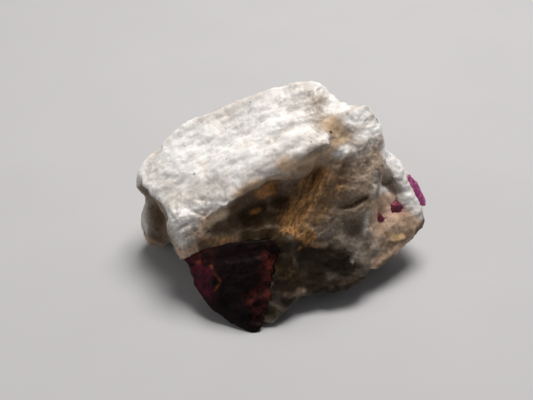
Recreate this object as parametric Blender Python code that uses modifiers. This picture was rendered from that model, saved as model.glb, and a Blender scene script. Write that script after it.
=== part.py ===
"""Ruby cluster on a block of white marble, at its real size, in metres with +Z up.

The block is a broken piece of coarse marble. It is laid out as overlapping convex fragments, each the
hull of a few landmarks on the real stone, fused and worn into one body. The rubies sit in sockets in it.
Landmarks are in millimetres: X to the right, Y away from the viewer, Z up from the surface it rests on,
with the foremost ruby's tip near X -3, Y 1, Z 0. The specimen's parent moves them all so that the origin
is under the middle of the finished piece.
"""

import math

import bmesh
import bpy
from mathutils import Matrix, Vector, noise

MM = 0.001

# Driving dimensions, in millimetres
FUSE_CELL = 0.36          # size of the cells in which the fragments are fused
WEAR_PASSES = 7           # rounds of smoothing that take the edge off the breaks
SOCKET_GAP = 0.3          # clear space between a ruby and the marble round it
TRIM_DEPTH = 8.0          # thickness of the block that trims the underside flat
TRIM_SIDE = 80.0
MATRIX_TRIANGLES = 7200
RUBY_WEAR_PASSES = 2
RUBY_RIPPLE = 1.1         # wavelength of the ripples on its faces
RUBY_WEAR_MEAN = 0.21     # their mean depth, as a share of the crystal's cell
RUBY_WEAR_SWING = 0.29    # how far it swings from the mean, as a share of the cell
BREAK_FLOOR = 0.5         # share of a break's half width over which it has its full depth

# Colour and roughness
MARBLE_LOOK = ((0.72, 0.68, 0.63), 0.62)
RUBY_LOOK = {
    "ruby_front": ((0.13, 0.012, 0.035), 0.34),
    "ruby_east_edge": ((0.34, 0.10, 0.19), 0.42),
    "ruby_grain_upper": ((0.16, 0.02, 0.045), 0.40),
    "ruby_grain_lower": ((0.16, 0.02, 0.045), 0.40),
}

# Relief of the broken marble: wavelength and height of each layer, in millimetres
RELIEF = ((5.0, 0.50), (2.4, 0.26), (1.2, 0.07))
RELIEF_SHIFT = Vector((0.0, 5.0, 9.0))    # where the first layer is read from
LAYER_SHIFT = Vector((17.0, 0.0, 0.0))    # how far apart the layers are read
GRAIN_DIRECTION = Vector((0.80, 0.33, 0.50)).normalized()
GRAIN_STRETCH = 2.2       # how much longer the relief is along the grain than across it

# Fragments of the marble block, named for where they are
FRAGMENTS = {
    "crown": [
        (-16.3, 15.2, 9.5), (-15.3, 18.4, 11.8), (-12.5, 19.9, 13.8), (-7.2, 21.0, 16.2),
        (-1.2, 20.6, 18.9), (1.6, 20.4, 19.9), (4.0, 19.8, 20.0), (5.4, 19.1, 19.2), (6.3, 18.4, 18.3),
        (4.2, 21.2, 18.8), (1.6, 21.9, 18.6), (6.0, 20.2, 17.4),
        (4.7, 11.8, 17.0), (1.7, 11.4, 16.6), (-1.2, 10.3, 15.1), (-4.0, 8.8, 13.2),
        (-5.8, 7.8, 11.6), (-10.2, 8.4, 9.4), (-13.8, 12.3, 8.9), (-13.0, 17.0, 6.0),
        (-9.0, 11.0, 6.5), (-5.0, 11.5, 8.5), (0.0, 13.0, 11.5), (5.0, 18.0, 10.0),
        (-9.0, 22.0, 8.0), (-2.0, 23.0, 9.0),
    ],
    "saddle": [
        (4.4, 13.4, 17.6), (5.6, 15.2, 18.1), (5.8, 18.5, 18.7), (3.6, 19.2, 19.6), (8.8, 18.4, 18.4),
        (8.7, 15.4, 16.4), (7.4, 13.9, 15.4), (5.6, 12.8, 15.3), (4.2, 14.0, 14.0),
        (8.0, 18.0, 13.0), (4.0, 18.0, 15.0),
    ],
    "west_knob": [
        (-16.9, 15.8, 8.6), (-16.7, 16.9, 10.3), (-15.6, 18.4, 11.4), (-15.6, 15.2, 8.2),
        (-14.4, 17.0, 10.8), (-13.8, 19.0, 8.0), (-14.0, 16.0, 6.5), (-16.2, 16.4, 7.0),
    ],
    "shelf": [
        (-1.6, 9.8, 15.0), (0.2, 9.8, 13.8), (1.8, 10.5, 13.4), (3.8, 12.0, 14.4),
        (0.0, 13.5, 15.2), (3.4, 14.5, 15.4), (-2.5, 12.0, 12.0), (3.4, 14.5, 12.0),
    ],
    "buttress": [
        (2.0, 4.3, 2.0), (4.6, 4.8, 1.8), (7.8, 5.8, 2.0), (9.6, 7.2, 3.2), (9.9, 9.2, 6.4),
        (10.2, 11.4, 10.0), (10.9, 13.8, 12.6), (7.6, 13.7, 15.1), (6.0, 13.2, 14.6),
        (2.9, 10.1, 11.0), (1.6, 7.6, 7.5), (6.2, 18.2, 18.2), (6.9, 18.1, 18.2),
        (9.4, 18.4, 18.45), (10.2, 18.2, 17.7), (10.9, 18.0, 16.4), (11.4, 17.8, 14.4),
        (11.5, 17.4, 12.4), (10.0, 20.8, 12.0), (4.0, 21.5, 14.0), (9.0, 18.0, 2.0),
        (2.0, 18.0, 3.0),
    ],
    "groove_floor": [
        (5.4, 14.6, 15.4), (3.9, 12.8, 13.7), (2.1, 10.5, 11.1), (0.9, 8.3, 8.6),
        (-1.5, 9.0, 8.0), (-1.2, 10.8, 11.2), (-2.0, 14.0, 8.0), (4.0, 16.0, 10.0),
        (6.5, 15.5, 13.0),
    ],
    "recess_floor": [
        (-10.0, 8.0, 7.2), (-5.5, 8.6, 8.6), (-1.5, 8.7, 9.0), (0.6, 9.8, 11.4),
        (-1.2, 10.4, 12.4), (-4.5, 9.0, 11.2), (-8.0, 8.3, 9.6), (-10.6, 8.6, 8.8),
        (-8.0, 13.0, 8.0), (-1.0, 14.0, 9.0), (-8.0, 11.0, 4.0), (-1.0, 11.0, 4.0),
        (-2.8, 9.6, 12.4), (-2.4, 12.0, 13.2),
    ],
    "east_ridge": [
        (11.5, 18.0, 12.6), (12.7, 18.0, 11.4), (14.2, 18.0, 9.7), (13.9, 16.9, 9.3),
        (11.6, 14.9, 11.7), (13.6, 16.0, 10.0), (15.0, 15.4, 7.8), (15.7, 14.6, 6.6), (16.9, 14.1, 5.2),
        (15.6, 13.8, 5.0), (14.4, 15.6, 8.0), (13.0, 20.5, 8.5), (14.6, 18.5, 4.5),
        (10.5, 20.0, 11.0), (10.0, 19.0, 5.0), (15.6, 16.6, 6.0),
    ],
    "east_face": [
        (11.4, 15.2, 10.8), (13.6, 16.2, 9.0), (15.2, 15.0, 6.6), (16.9, 13.9, 5.0),
        (15.4, 12.4, 4.1), (13.3, 10.6, 3.3), (9.9, 7.8, 2.6), (10.5, 10.7, 7.4),
        (14.5, 17.0, 3.5), (11.0, 18.0, 1.5), (12.0, 12.5, 1.5), (10.2, 14.4, 0.8),
        (10.0, 16.6, 0.8),
    ],
    "west_lobe": [
        (-16.6, 16.0, 1.2), (-15.5, 14.7, 1.0), (-12.0, 15.2, 0.8), (-16.4, 15.8, 4.2),
        (-15.9, 15.4, 7.4), (-12.0, 14.3, 7.5), (-15.0, 20.0, 7.0), (-11.0, 21.0, 5.0),
        (-13.0, 19.0, 0.8), (-15.4, 17.8, 8.8), (-14.6, 19.6, 9.0),
    ],
    "pillar": [
        (-12.6, 11.0, 9.9), (-12.2, 10.2, 7.0), (-11.8, 8.9, 4.7), (-11.2, 7.4, 4.3),
        (-10.7, 7.1, 5.8), (-8.0, 7.4, 7.6), (-7.6, 7.6, 10.4), (-9.0, 12.0, 9.5),
        (-10.8, 8.6, 10.0),
        (-10.0, 13.0, 5.0), (-10.8, 12.0, 3.5),
    ],
    "ruby_roof": [
        (-11.0, 7.4, 5.3), (-9.0, 7.2, 6.7), (-5.0, 7.0, 8.2), (-1.1, 6.9, 9.0),
        (-9.5, 9.0, 7.6), (-5.5, 9.7, 8.7), (-0.5, 9.2, 9.4), (-8.0, 12.0, 5.0),
        (-1.0, 12.0, 6.0), (-9.5, 9.5, 4.4), (-1.0, 9.0, 6.5),
    ],
    "ruby_wall": [
        (-1.4, 1.9, 0.1), (-0.8, 3.0, 1.6), (0.2, 3.8, 1.9), (2.0, 4.5, 2.2), (1.9, 4.6, 3.8),
        (0.2, 4.3, 4.6), (0.2, 6.2, 8.4), (1.8, 7.8, 8.2), (-1.7, 9.0, 9.0), (1.6, 9.4, 8.9),
        (2.0, 9.0, 1.0),
        (-2.0, 9.0, 0.6), (-2.2, 3.4, 0.3),
    ],
    "ruby_root": [
        (-7.4, 5.6, 1.2), (-4.0, 4.2, -0.4), (-1.6, 3.2, -0.2), (-1.6, 8.0, -0.4),
        (-8.0, 9.5, 0.0), (-9.8, 8.6, 3.2), (-9.4, 11.0, 3.0), (-6.0, 9.5, 5.0),
        (-2.0, 8.0, 5.0), (-8.8, 6.8, 2.6),
    ],
    "back_upper": [
        (3.0, 22.0, 17.8), (-1.0, 22.6, 17.1), (-7.0, 23.2, 14.7), (-12.0, 22.0, 12.0),
        (-15.0, 20.4, 9.8), (8.0, 21.3, 15.1), (10.4, 20.6, 12.6), (9.5, 21.5, 8.5),
        (0.0, 23.6, 8.0), (-10.0, 22.6, 6.5), (-13.5, 20.5, 6.5), (4.0, 23.4, 12.4),
        (-4.0, 24.2, 12.0), (-9.0, 15.0, 6.0), (6.0, 15.0, 8.0), (2.0, 19.0, 18.9),
        (-1.0, 19.0, 18.2), (-7.0, 19.8, 15.8), (-12.0, 18.6, 12.8), (-14.6, 17.6, 10.8),
    ],
    "east_back": [
        (12.4, 18.2, 11.4), (14.3, 18.6, 8.6), (14.9, 18.2, 5.0), (12.5, 19.5, 2.2),
        (11.0, 22.0, 5.5), (10.5, 22.4, 9.0), (10.4, 20.8, 12.6), (8.0, 16.0, 4.0),
        (8.0, 16.0, 10.0), (9.6, 15.6, 1.2), (11.2, 17.6, 1.4), (9.0, 18.0, 0.8),
    ],
    "back_lower": [
        (-9.5, 22.4, 3.0), (-7.0, 24.0, 6.5), (1.0, 25.2, 8.2), (7.0, 24.0, 6.5),
        (10.5, 21.5, 5.0), (9.0, 20.5, 1.2), (-3.0, 22.5, 0.6), (-10.0, 19.0, 1.5),
        (-11.5, 21.8, 6.0), (5.0, 24.0, 9.6), (-5.0, 24.6, 9.0), (-8.0, 14.0, 3.0),
        (8.0, 14.0, 3.0), (9.6, 22.0, 8.4), (7.6, 23.0, 9.8),
    ],
    "west_core": [
        (-12.5, 11.2, 8.8), (-14.4, 14.9, 8.5), (-12.0, 11.2, 4.6), (-13.8, 14.9, 2.0),
        (-11.8, 11.4, 3.0), (-12.0, 18.0, 1.6), (-9.0, 12.0, 2.4), (-8.0, 16.0, 4.0),
        (-12.0, 20.8, 2.0), (-13.4, 21.0, 6.8), (-10.0, 21.5, 4.0), (-11.8, 21.9, 6.4),
        (-10.6, 22.2, 5.0),
    ],
    "base": [
        (-8.0, 9.5, 0.1), (6.0, 7.0, 0.3), (10.0, 11.0, -0.1), (8.0, 18.5, -0.2),
        (-5.0, 20.0, 0.1), (-10.0, 15.0, -0.1), (-11.5, 10.5, 5.0), (-12.0, 17.0, 5.0),
        (0.0, 13.5, -0.4),
        (11.0, 12.5, 6.0), (9.0, 21.0, 7.0), (-6.0, 23.0, 6.0), (2.0, 23.0, 6.0),
    ],
}

# Ridges, and hollows with a negative height: the two ends, the half width and the height in millimetres
LANDFORMS = (
    ("step across the top", (-2.4, 13.0, 16.2), (0.9, 14.6, 17.6), 0.7, -0.22),
    ("fold under the step", (-4.2, 10.9, 14.0), (0.6, 12.6, 16.6), 0.9, 0.25),
    ("crease beside the west knob", (-15.3, 15.2, 8.8), (-14.3, 18.6, 12.4), 0.6, -0.45),
    ("dimple below the second peak", (5.7, 13.7, 16.6), (6.8, 14.3, 16.4), 1.1, -0.45),
    ("crest of the buttress", (8.6, 14.6, 15.2), (10.4, 16.6, 15.4), 0.8, 0.35),
    ("groove", (4.5, 12.5, 14.4), (1.1, 8.5, 8.9), 1.1, -0.60),
    ("bank of the groove", (4.0, 10.6, 11.4), (6.8, 13.2, 14.6), 0.9, 0.30),
    ("hollow under the lip", (-4.8, 8.9, 10.0), (-0.6, 10.0, 11.6), 1.4, -0.55),
    ("belly of the shelf", (0.6, 10.3, 14.0), (3.0, 11.6, 14.6), 0.9, 0.30),
    ("crack in the buttress", (7.0, 10.7, 10.4), (9.2, 10.8, 10.5), 0.6, -0.30),
    ("pit in the buttress", (7.7, 9.4, 7.6), (8.2, 8.8, 6.8), 1.1, -0.45),
    ("rib beside the pit", (9.4, 9.6, 8.0), (9.2, 9.0, 6.6), 0.7, 0.40),
    ("shoulder above the ruby", (0.4, 7.4, 8.0), (3.6, 7.8, 7.2), 0.9, 0.30),
    ("hollow right of the ruby", (1.0, 6.0, 6.0), (5.0, 6.2, 4.6), 1.2, -0.40),
    ("foot of the buttress", (5.6, 5.2, 2.4), (8.6, 6.6, 3.0), 0.8, 0.25),
    ("recess of the east face", (12.0, 14.7, 10.1), (12.8, 14.6, 8.8), 1.0, -1.00),
    ("lower edge of the east face", (10.6, 8.9, 3.0), (14.0, 11.8, 4.4), 0.7, 0.30),
    ("hollow of the west lobe", (-14.6, 14.9, 6.4), (-13.6, 14.8, 5.4), 1.2, -0.50),
    ("knob on the pillar", (-11.8, 9.4, 7.6), (-11.4, 9.0, 8.4), 0.9, 0.35),
    ("bite in the rim", (-9.0, 7.9, 9.2), (-8.2, 7.8, 9.4), 1.1, -0.25),
    ("ledge on the back", (-10.0, 22.6, 8.0), (4.0, 24.0, 10.4), 1.0, 0.35),
    ("furrow on the back", (-6.0, 23.6, 13.6), (5.0, 23.0, 11.4), 1.1, -0.80),
    ("break down the back", (4.6, 22.8, 16.0), (6.6, 22.8, 9.0), 1.0, -0.70),
    ("chip low on the back", (-6.4, 23.8, 4.6), (-3.6, 23.8, 4.0), 1.4, -0.60),
    ("chip under the east side", (12.4, 18.6, 1.8), (13.2, 19.4, 2.6), 1.0, -0.30),
)

# Steps and chips broken out of the front ruby: the two ends, the half width and the depth
RUBY_BREAKS = (
    ("step along the parting", (-5.2, 3.4, 3.2), (-1.6, 4.6, 4.4), 1.5, 0.40),
    ("chip on the right edge", (-0.6, 5.4, 6.6), (-0.2, 5.2, 5.2), 1.0, 0.55),
    ("chip at the left corner", (-10.6, 6.9, 4.2), (-10.0, 6.2, 3.2), 0.8, 0.35),
    ("chip above the tip", (-3.9, 1.7, 1.8), (-2.6, 2.0, 1.4), 0.9, 0.35),
    ("step below the top edge", (-8.4, 6.0, 5.6), (-1.6, 5.8, 7.4), 0.7, 0.12),
)

# Rubies: corners of each crystal, its cell for wearing, and its number of triangles
RUBIES = {
    "ruby_front": ([
        (-10.9, 7.4, 5.0), (-9.0, 7.0, 6.4), (-5.0, 6.8, 7.9), (-0.9, 6.7, 8.5), (0.1, 6.0, 7.2),
        (-10.4, 6.3, 3.6), (-8.9, 4.5, 2.5), (-7.7, 3.2, 1.3), (-5.4, 2.0, 0.2), (-3.0, 0.9, -0.3),
        (-2.1, 1.3, 0.2), (-1.6, 3.0, 3.0), (-0.6, 4.7, 5.7), (-7.4, 4.4, 4.9), (-6.6, 4.2, 4.6),
        (-4.5, 3.1, 4.3), (-8.0, 10.0, 3.2), (-3.0, 9.6, 4.2), (-2.4, 8.6, 7.0), (-8.0, 9.2, 5.6),
    ], 0.24, 1100),
    "ruby_east_edge": ([
        (14.7, 17.5, 9.6), (15.9, 16.9, 8.4), (16.7, 15.9, 7.0), (16.8, 15.3, 6.2),
        (14.3, 16.7, 9.3), (15.1, 15.8, 8.0), (16.0, 15.0, 6.5), (13.7, 17.9, 8.4),
        (14.7, 17.8, 6.6), (15.6, 16.8, 5.6), (14.3, 16.6, 7.0),
    ], 0.20, 420),
    "ruby_grain_upper": ([
        (12.0, 13.3, 8.0), (12.9, 13.4, 7.9), (13.8, 13.9, 7.4), (13.5, 13.4, 6.8),
        (12.3, 12.8, 7.0), (12.9, 14.4, 8.1), (12.4, 14.8, 6.6), (13.5, 14.9, 6.4),
    ], 0.15, 150),
    "ruby_grain_lower": ([
        (10.4, 11.5, 7.9), (11.0, 11.6, 7.9), (11.5, 11.6, 7.2), (10.9, 11.1, 6.9),
        (10.4, 11.2, 7.3), (10.6, 12.8, 7.7), (11.3, 12.9, 6.9),
    ], 0.13, 120),
}


def new_collection(name, hidden=False):
    """A collection linked to the scene; a hidden one holds the cutters."""
    made = bpy.data.collections.new(name)
    made.hide_render = hidden
    bpy.context.scene.collection.children.link(made)
    return made


def hull_into(bm, corners):
    """Adds the convex hull of the corners to bm, as one closed fragment."""
    points = [bm.verts.new(corner) for corner in corners]
    made = bmesh.ops.convex_hull(bm, input=points)
    spare = [v for v in made["geom_interior"] if isinstance(v, bmesh.types.BMVert)]
    bmesh.ops.delete(bm, geom=spare, context="VERTS")


def in_metres(landmarks):
    return [Vector(p) * MM for p in landmarks]


def object_from(bm, name, collection):
    """Turns bm into an object in the collection."""
    bmesh.ops.recalc_face_normals(bm, faces=bm.faces)
    mesh = bpy.data.meshes.new(name)
    bm.to_mesh(mesh)
    bm.free()
    obj = bpy.data.objects.new(name, mesh)
    collection.objects.link(obj)
    return obj


def apply_modifiers(obj):
    """Replaces the object's mesh with what its modifiers make of it."""
    bpy.context.view_layer.update()
    evaluated = obj.evaluated_get(bpy.context.evaluated_depsgraph_get())
    mesh = bpy.data.meshes.new_from_object(evaluated)
    obj.modifiers.clear()
    obj.data = mesh


def fuse_and_wear(obj, cell, passes):
    """Fuses the object's fragments in cells of the given size and rounds their edges."""
    fuse = obj.modifiers.new("fuse", "REMESH")
    fuse.mode = "VOXEL"
    fuse.voxel_size = cell * MM
    wear = obj.modifiers.new("wear", "SMOOTH")
    wear.iterations = passes
    apply_modifiers(obj)


def thin_out(obj, triangles):
    """Reduces the object to about the given number of triangles."""
    thin = obj.modifiers.new("thin", "DECIMATE")
    thin.use_collapse_triangulate = True
    thin.ratio = triangles / (2 * len(obj.data.polygons))
    apply_modifiers(obj)


def along_grain(point):
    """The point with distances along the marble's grain shortened, so that noise read there runs with it."""
    along = point.dot(GRAIN_DIRECTION)
    return point - GRAIN_DIRECTION * along * (1 - 1 / GRAIN_STRETCH)


def distance_to_line(point, start, end):
    """Distance from the point to the line between start and end."""
    span = end - start
    share = max(0.0, min(1.0, (point - start).dot(span) / span.length_squared))
    return (point - start - span * share).length


def marble_relief(point):
    """Height of the broken marble's relief at a point, both in millimetres."""
    place = along_grain(point)
    height = 0.0
    for layer, (wavelength, amount) in enumerate(RELIEF):
        height += amount * noise.noise(place / wavelength + RELIEF_SHIFT + LAYER_SHIFT * layer)
    for _, start, end, half_width, rise in LANDFORMS:
        away = distance_to_line(point, Vector(start), Vector(end)) / half_width
        height += rise * math.exp(-away * away)
    return height


def ruby_relief(point, cell):
    """Depth of the ruby's worn and broken surface at a point, never above its flat faces."""
    ripple = noise.noise(point / RUBY_RIPPLE)
    depth = cell * (RUBY_WEAR_MEAN + RUBY_WEAR_SWING * ripple)
    for _, start, end, half_width, drop in RUBY_BREAKS:
        away = distance_to_line(point, Vector(start), Vector(end)) / half_width
        depth += drop * min(1.0, max(0.0, (1.0 - away) / (1.0 - BREAK_FLOOR)))
    return -max(0.0, depth)


def carve(mesh, relief):
    """Moves each vertex along its normal by the relief at its place."""
    normals = [v.normal.copy() for v in mesh.vertices]
    for vertex, normal in zip(mesh.vertices, normals):
        vertex.co += normal * relief(vertex.co / MM) * MM


def stone_material(name, colour, roughness):
    """A Principled material of one colour."""
    material = bpy.data.materials.new(name)
    material.use_nodes = True
    shader = material.node_tree.nodes["Principled BSDF"]
    shader.inputs["Base Color"].default_value = (*colour, 1.0)
    shader.inputs["Roughness"].default_value = roughness
    shader.inputs["Metallic"].default_value = 0.0
    return material


def ruby_crystal(name, collection):
    """One ruby: the hull of its corners, worn and broken inward."""
    landmarks, cell, triangles = RUBIES[name]
    bm = bmesh.new()
    hull_into(bm, in_metres(landmarks))
    crystal = object_from(bm, name, collection)
    fuse_and_wear(crystal, cell, RUBY_WEAR_PASSES)
    carve(crystal.data, lambda point: ruby_relief(point, cell))
    thin_out(crystal, triangles)
    crystal.data.materials.append(stone_material(name + "_ruby", *RUBY_LOOK[name]))
    return crystal


def socket_cutter(name, collection):
    """The ruby's hull with every face moved out by the socket gap."""
    bm = bmesh.new()
    hull_into(bm, in_metres(RUBIES[name][0]))
    bmesh.ops.recalc_face_normals(bm, faces=bm.faces)
    grown = [v.co + f.normal * SOCKET_GAP * MM for f in bm.faces for v in f.verts]
    bm.clear()
    hull_into(bm, grown)
    return object_from(bm, name + "_socket", collection)


def floor_cutter(collection):
    """The block that trims everything below the surface the specimen rests on."""
    bm = bmesh.new()
    place = Matrix.Translation((0.0, 0.0, -TRIM_DEPTH * MM / 2))
    size = Matrix.Diagonal((TRIM_SIDE * MM, TRIM_SIDE * MM, TRIM_DEPTH * MM, 1.0))
    bmesh.ops.create_cube(bm, size=1.0, matrix=place @ size)
    return object_from(bm, "floor_trim", collection)


def cut(obj, cutter):
    """Takes the cutter out of the object, kept as a modifier."""
    cutter.display_type = "WIRE"
    cutter.hide_render = True
    boolean = obj.modifiers.new(cutter.name, "BOOLEAN")
    boolean.operation = "DIFFERENCE"
    boolean.solver = "EXACT"
    boolean.object = cutter


def marble_block(collection):
    """The marble: fragments fused into one body, worn, and given the relief of the break."""
    bm = bmesh.new()
    for landmarks in FRAGMENTS.values():
        hull_into(bm, in_metres(landmarks))
    matrix = object_from(bm, "marble_matrix", collection)
    fuse_and_wear(matrix, FUSE_CELL, WEAR_PASSES)
    carve(matrix.data, marble_relief)
    thin_out(matrix, MATRIX_TRIANGLES)
    matrix.data.materials.append(stone_material("white_marble", *MARBLE_LOOK))
    return matrix


def middle_of_the_foot(pieces):
    """The point under the middle of the pieces, at the height of the lowest."""
    bpy.context.view_layer.update()
    graph = bpy.context.evaluated_depsgraph_get()
    spans = []
    for piece in pieces:
        mesh = piece.evaluated_get(graph).to_mesh()
        spans.extend(v.co.copy() for v in mesh.vertices)
    low = Vector(map(min, zip(*spans)))
    high = Vector(map(max, zip(*spans)))
    return Vector(((low.x + high.x) / 2, (low.y + high.y) / 2, low.z))


def build():
    for obj in list(bpy.data.objects):
        bpy.data.objects.remove(obj)
    parts = new_collection("ruby_cluster_on_matrix")
    cutters = new_collection("cutters", hidden=True)
    floor_trim = floor_cutter(cutters)
    matrix = marble_block(parts)
    cut(matrix, floor_trim)
    pieces = [matrix]
    for name in RUBIES:
        cut(matrix, socket_cutter(name, cutters))
        pieces.append(ruby_crystal(name, parts))
    cut(pieces[1], floor_trim)
    specimen = bpy.data.objects.new("ruby_cluster_on_matrix", None)
    parts.objects.link(specimen)
    specimen.location = -middle_of_the_foot(pieces)
    for obj in pieces + list(cutters.objects):
        obj.parent = specimen


build()
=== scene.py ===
"""Looks of the ruby cluster on matrix: fine relief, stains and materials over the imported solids.

Places are given as landmarks in millimetres of the frame that the specimen was measured in: X to the
right, Y away from the viewer, Z up from the floor. ORIGIN is where the row's own origin lies in it.
"""

import math

import bmesh
import bpy
import numpy as np
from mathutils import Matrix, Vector
from mathutils.bvhtree import BVHTree


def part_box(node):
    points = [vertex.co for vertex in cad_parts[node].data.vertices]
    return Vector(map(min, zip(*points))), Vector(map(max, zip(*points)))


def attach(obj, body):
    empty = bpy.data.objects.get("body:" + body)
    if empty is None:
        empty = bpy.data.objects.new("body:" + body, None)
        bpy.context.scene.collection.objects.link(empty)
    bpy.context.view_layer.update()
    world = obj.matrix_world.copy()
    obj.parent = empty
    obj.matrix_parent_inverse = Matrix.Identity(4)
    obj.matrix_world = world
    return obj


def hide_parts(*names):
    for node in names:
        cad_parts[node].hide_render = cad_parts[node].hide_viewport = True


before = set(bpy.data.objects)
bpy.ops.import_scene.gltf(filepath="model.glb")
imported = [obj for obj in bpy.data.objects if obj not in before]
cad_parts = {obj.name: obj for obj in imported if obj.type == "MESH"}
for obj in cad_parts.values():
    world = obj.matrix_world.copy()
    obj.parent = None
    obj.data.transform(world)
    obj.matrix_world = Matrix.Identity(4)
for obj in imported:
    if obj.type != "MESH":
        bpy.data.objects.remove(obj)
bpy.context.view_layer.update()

MM = 0.001
ORIGIN = np.array((0.0415, 13.0507, 0.0))
WELD_DISTANCE = 1e-6                      # metres
TINY = 1e-9
NOISE_GAIN = 1.6                          # brings the smooth noise to about -1 to 1

# Sizes of the cells in which the skins are made, in millimetres
MARBLE_CELL = 0.185
RUBY_CELL = 0.11
GRAIN_CELL = 0.06

# The rubies: piece, the node it replaces, cell, the record's slot and the material
RUBIES = (
    ("ruby_front_crystal", "ruby_front", RUBY_CELL, "ruby_dark", "dark_ruby"),
    ("ruby_edge_crystal", "ruby_east_edge", RUBY_CELL, "ruby_pink", "pink_ruby"),
    ("ruby_grain_upper_crystal", "ruby_grain_upper", GRAIN_CELL, "ruby_dark", "grain_ruby"),
    ("ruby_grain_lower_crystal", "ruby_grain_lower", GRAIN_CELL, "ruby_dark", "grain_ruby"),
)


def row_place(point):
    """A landmark of the measuring frame as a point of the row, in metres."""
    return Vector((np.array(point, float) - ORIGIN) * MM)


# Noise on arrays of points, in millimetres

def hash_cells(cell, seed):
    """A number from 0 to 1 for each whole-numbered cell, from its coordinates scrambled bit by bit."""
    x, y, z = (cell[:, i].astype(np.int64) for i in range(3))
    n = (x * 374761393 + y * 668265263 + z * 2147483647 + seed * 974634777) & 0xFFFFFFFF
    n = ((n ^ (n >> 13)) * 1274126177) & 0xFFFFFFFF
    n = ((n ^ (n >> 16)) * 2246822519) & 0xFFFFFFFF
    return ((n ^ (n >> 15)) & 0xFFFFFF) / float(0x1000000)


def smooth_noise(points, seed):
    """Smooth noise from -1 to 1, with one lattice cell a unit."""
    base = np.floor(points)
    part = points - base
    ease = part * part * part * (part * (part * 6 - 15) + 10)
    total = np.zeros(len(points))
    for corner in np.ndindex(2, 2, 2):
        cell = base + corner
        away = part - corner
        angle = hash_cells(cell, seed) * 2 * np.pi
        height = hash_cells(cell, seed + 101) * 2 - 1
        flat = np.sqrt(1 - height * height)
        slope = (away[:, 0] * flat * np.cos(angle) + away[:, 1] * flat * np.sin(angle)
                 + away[:, 2] * height)
        weight = np.ones(len(points))
        for axis in range(3):
            weight *= ease[:, axis] if corner[axis] else 1 - ease[:, axis]
        total += weight * slope
    return total * NOISE_GAIN


def layered_noise(points, seed, layers=3, fade=0.5):
    """Smooth noise with finer layers over it, each half the size and weaker by the fade."""
    total = np.zeros(len(points))
    amount = 1.0
    for layer in range(layers):
        total += amount * smooth_noise(points * 2.0 ** layer, seed + 7 * layer)
        amount *= fade
    return total


def nearest_grain(points, seed):
    """Each point's vector from the nearest of grains scattered one to a cell, and that grain's number."""
    base = np.floor(points)
    nearest = np.full(len(points), np.inf)
    vector = np.zeros_like(points)
    number = np.zeros(len(points))
    for step in np.ndindex(3, 3, 3):
        cell = base + np.array(step) - 1
        centre = cell + np.stack([hash_cells(cell, seed + 31 * k) for k in range(3)], axis=1)
        away = points - centre
        distance = np.sqrt((away * away).sum(axis=1))
        nearer = distance < nearest
        vector[nearer] = away[nearer]
        number[nearer] = hash_cells(cell, seed + 997)[nearer]
        nearest = np.minimum(nearest, distance)
    return vector, number


def facet_heights(vector, number):
    """Heights of grains whose flat tops tilt each its own way."""
    slope = np.stack([np.cos(number * 40.0), np.sin(number * 40.0), np.cos(number * 71.0)], axis=1)
    return (vector * slope).sum(axis=1)


def stretched(points, direction, factor):
    """The points with distances along the direction shortened, so that noise read there runs with it."""
    unit = np.array(direction, float) / np.linalg.norm(direction)
    along = points @ unit
    return points - np.outer(along * (1 - 1 / factor), unit)


def smoothstep(low, high, value):
    """0 at low and 1 at high, with a smooth passage between."""
    share = np.clip((value - low) / (high - low), 0, 1)
    return share * share * (3 - 2 * share)


def near_line(points, start, end, half_width):
    """1 on the line between start and end, falling to 0 away from it."""
    start, end = np.array(start, float), np.array(end, float)
    span = end - start
    length_squared = max(span @ span, TINY)
    share = np.clip((points - start) @ span / length_squared, 0, 1)
    away = points - start - np.outer(share, span)
    return np.exp(-(away * away).sum(axis=1) / half_width ** 2)


# Skins over the solids

def new_object(name, data):
    """An object that shows the mesh, light or camera, in the scene."""
    obj = bpy.data.objects.new(name, data)
    bpy.context.scene.collection.objects.link(obj)
    return obj


def keep_largest_island(mesh):
    """Drops any speck that the remesh leaves beside a sharp edge."""
    bm = bmesh.new()
    bm.from_mesh(mesh)
    seen = set()
    islands = []
    for start in bm.verts:
        if start in seen:
            continue
        seen.add(start)
        island = [start]
        for vert in island:
            for edge in vert.link_edges:
                other = edge.other_vert(vert)
                if other not in seen:
                    seen.add(other)
                    island.append(other)
        islands.append(island)
    islands.sort(key=len)
    for speck in islands[:-1]:
        bmesh.ops.delete(bm, geom=speck, context="VERTS")
    if len(islands) > 1:
        bm.to_mesh(mesh)
    bm.free()


def skin_over(name, node, cell, passes):
    """A fine closed skin over a CAD node, in cells of the given size, smoothed a few times."""
    bm = bmesh.new()
    bm.from_mesh(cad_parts[node].data)
    bmesh.ops.remove_doubles(bm, verts=bm.verts, dist=WELD_DISTANCE)
    mesh = bpy.data.meshes.new(name + "_base")
    bm.to_mesh(mesh)
    bm.free()
    coarse = new_object(name + "_base", mesh)
    remesh = coarse.modifiers.new("cells", "REMESH")
    remesh.mode = "VOXEL"
    remesh.voxel_size = cell * MM
    smooth = coarse.modifiers.new("smooth", "SMOOTH")
    smooth.iterations = passes
    bpy.context.view_layer.update()
    fine = bpy.data.meshes.new_from_object(coarse.evaluated_get(bpy.context.evaluated_depsgraph_get()))
    bpy.data.objects.remove(coarse)
    keep_largest_island(fine)
    fine.name = name
    obj = new_object(name, fine)
    fine.polygons.foreach_set("use_smooth", [True] * len(fine.polygons))
    return obj


def read_points(mesh):
    """Vertices of the mesh as landmarks in millimetres, and their normals."""
    place = np.zeros(len(mesh.vertices) * 3)
    mesh.vertices.foreach_get("co", place)
    normal = np.zeros(len(mesh.vertices) * 3, np.float32)
    mesh.vertex_normals.foreach_get("vector", normal)
    return place.reshape(-1, 3) / MM + ORIGIN, normal.reshape(-1, 3).astype(float)


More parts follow.
